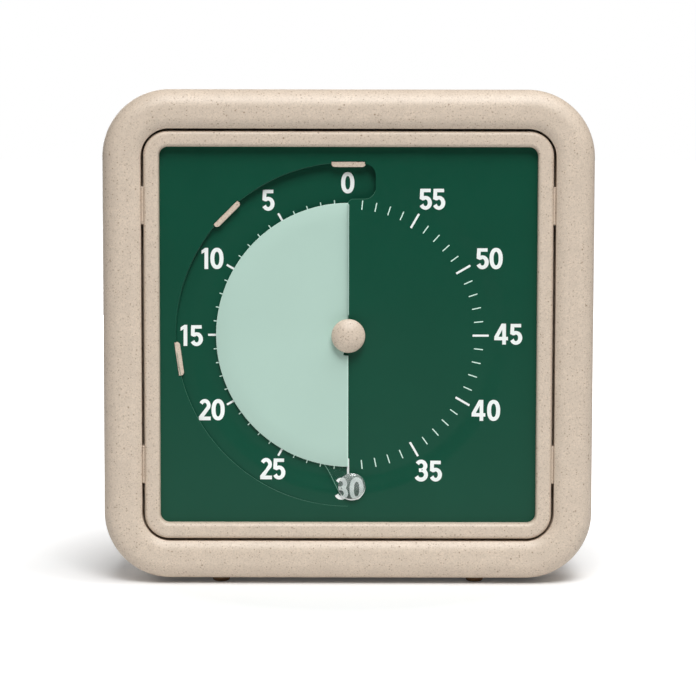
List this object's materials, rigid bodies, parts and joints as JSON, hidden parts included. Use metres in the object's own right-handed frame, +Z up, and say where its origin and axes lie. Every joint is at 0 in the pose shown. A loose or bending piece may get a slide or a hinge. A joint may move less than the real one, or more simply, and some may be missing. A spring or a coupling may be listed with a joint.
{
  "type": "visual countdown timer",
  "caption": "Square desk timer with a coloured disc that slides out of a slit in the dial to show the minutes left, set by a centre knob.",
  "frame": {"origin": "centre of the base, on the plane on which the four feet stand", "axes": "+Z up, front faces -Y, +X to the right seen from the front"},
  "size_m": [0.19, 0.045, 0.192],
  "materials": {
    "case_plastic": "fine matt texture with brown specks",
    "chassis_plastic": "matt",
    "dial_green": "satin",
    "disc_mint": "satin",
    "clear_tab": "clear polished",
    "white_plastic": "satin",
    "rotor_magnet": "satin",
    "steel": "satin",
    "spring_steel": "bright",
    "bush_brass": "turned",
    "copper_wire": "enamelled copper wire",
    "board_laminate": "satin",
    "black_plastic": "matt",
    "switch_grey": "matt",
    "cell_sleeve": "plain satin sleeve",
    "foot_rubber": "matt brown rubber"
  },
  "bodies": {
    "case": {"outer_frame": "case_plastic", "bezel": "case_plastic", "rear_cover": "case_plastic", "chassis": "chassis_plastic", "dial_plate": "dial_green", "movement_front_housing": "white_plastic", "movement_rear_housing": "white_plastic", "coil_bobbin": "white_plastic", "stator": "steel", "coil_core": "steel", "movement_screws": "steel", "board_screws": "steel", "rear_cover_screws": "steel", "quartz_crystal": "steel", "battery_contact_positive": "spring_steel", "battery_contact_negative": "spring_steel", "spindle_bush": "bush_brass", "coil_winding": "copper_wire", "circuit_board": "board_laminate", "driver_chip": "black_plastic", "buzzer": "black_plastic", "switch_body": "switch_grey", "battery": "cell_sleeve", "feet": "foot_rubber"},
    "setter": {"spindle": "steel", "disc_hub": "white_plastic", "setting_knob": "case_plastic", "clutch_spring": "spring_steel", "output_wheel": "white_plastic"},
    "disc": {"countdown_disc": "disc_mint", "disc_tab": "clear_tab"},
    "third": {"third_wheel": "white_plastic"},
    "second": {"second_wheel": "white_plastic"},
    "motor_rotor": {"rotor": "rotor_magnet"},
    "door": {"battery_door": "case_plastic"},
    "alert": {"alert_switch": "switch_grey"}
  },
  "joints": [
    {"name": "timer_spin", "type": "hinge", "parent": "case", "child": "setter", "pos_m": [0, 0, 0.097], "axis": [0, -1, 0], "range_deg": [-180, 180]},
    {"name": "disc_climb", "type": "slide", "parent": "setter", "child": "disc", "axis": [0, -1, 0], "range_m": [-0.00116, 0.00116]},
    {"name": "third_wheel_turn", "type": "hinge", "parent": "case", "child": "third", "pos_m": [-0.009, 0, 0.08628], "axis": [0, -1, 0], "continuous": true},
    {"name": "second_wheel_turn", "type": "hinge", "parent": "case", "child": "second", "pos_m": [-0.01379, 0, 0.09943], "axis": [0, -1, 0], "continuous": true},
    {"name": "rotor_turn", "type": "hinge", "parent": "case", "child": "motor_rotor", "pos_m": [-0.00779, 0, 0.10982], "axis": [0, -1, 0], "continuous": true},
    {"name": "battery_door_slide", "type": "slide", "parent": "case", "child": "door", "axis": [1, 0, 0], "range_m": [0, 0.006]},
    {"name": "alert_switch_slide", "type": "slide", "parent": "case", "child": "alert", "axis": [1, 0, 0], "range_m": [0, 0.004]}
  ],
  "couplings": [
    {"joint": "disc_climb", "follows": "timer_spin", "m_per_rad": 0.00036606},
    {"joint": "third_wheel_turn", "follows": "timer_spin", "ratio": -6},
    {"joint": "second_wheel_turn", "follows": "timer_spin", "ratio": 36},
    {"joint": "rotor_turn", "follows": "timer_spin", "ratio": -180}
  ]
}
